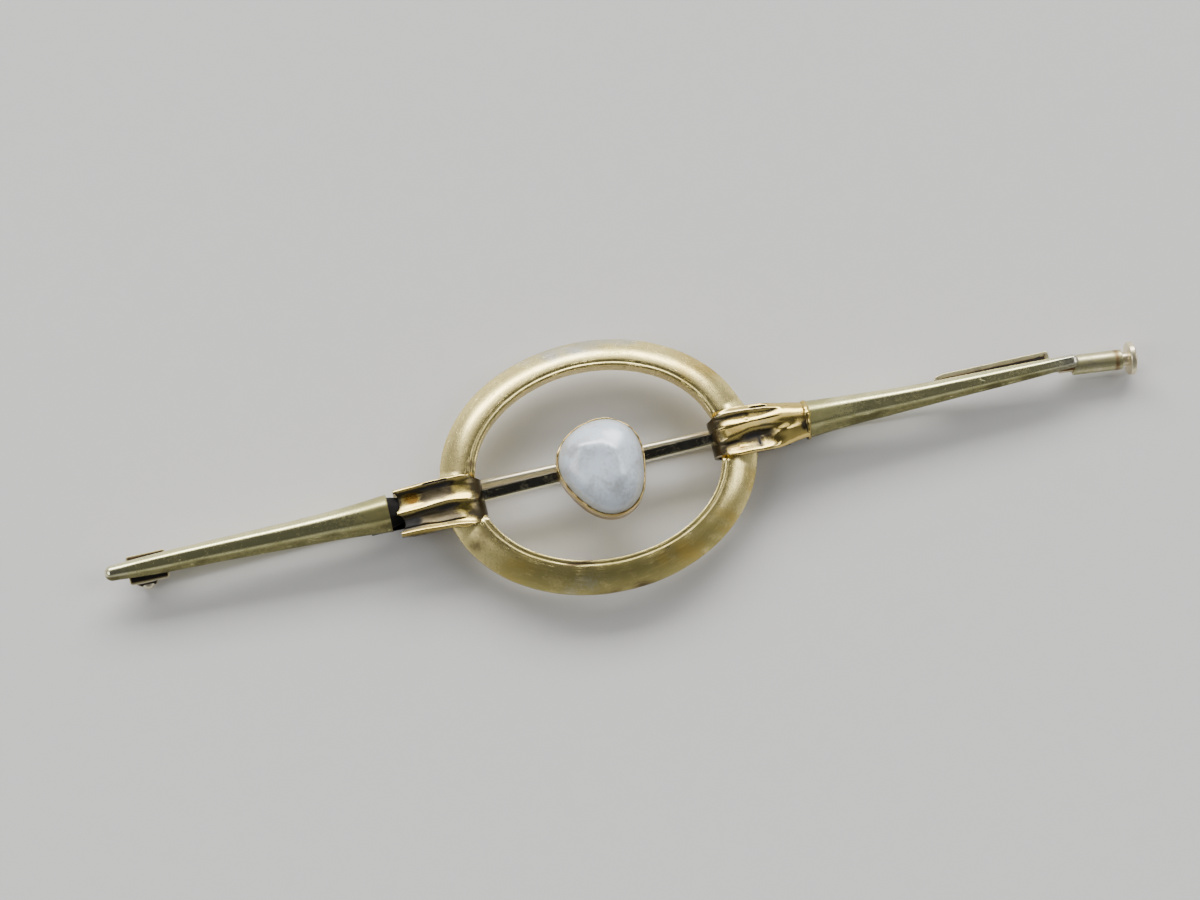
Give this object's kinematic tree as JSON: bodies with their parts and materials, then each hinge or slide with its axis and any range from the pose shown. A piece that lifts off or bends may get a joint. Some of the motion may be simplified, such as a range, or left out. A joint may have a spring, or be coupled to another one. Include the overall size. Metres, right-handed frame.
{
  "type": "bar brooch",
  "caption": "Bar brooch: tapering arms, an oval ring clasped by fluted collars, a baroque pearl in a collet, and a hinged pin behind that closes into a sliding catch.",
  "frame": {"origin": "middle of the bounding box's base, on the surface that the brooch lies on, face up", "axes": "+X along the brooch from the hinge to the catch, +Y up across its face, +Z out of its face"},
  "size_m": [0.0623, 0.015, 0.005],
  "materials": {
    "frame_gold": "worn polish with brown tarnish in the hollows",
    "ring_gold": "satin with fine scratches and olive tarnish",
    "pearl": "nacre lustre over a low, uneven skin",
    "rivet_gold": "polished",
    "pin_gold": "polished, with fine scratches",
    "slider_gold": "polished, with tarnish round the neck"
  },
  "bodies": {
    "brooch_body": {"soldered_frame": "frame_gold", "oval_ring": "ring_gold", "pearl": "pearl", "hinge_rivet": "rivet_gold"},
    "pin": {"pin_stem": "pin_gold"},
    "slider": {"catch_slider": "slider_gold"}
  },
  "joints": [
    {"name": "pin_hinge", "type": "hinge", "parent": "brooch_body", "child": "pin", "pos_m": [-0.0289, 0, 0.00055], "axis": [0, 1, 0], "range_deg": [0, 110]},
    {"name": "catch_slide", "type": "slide", "parent": "brooch_body", "child": "slider", "axis": [0.9954, -0.0958, 0], "range_m": [-0.0003, 0.0017]}
  ]
}
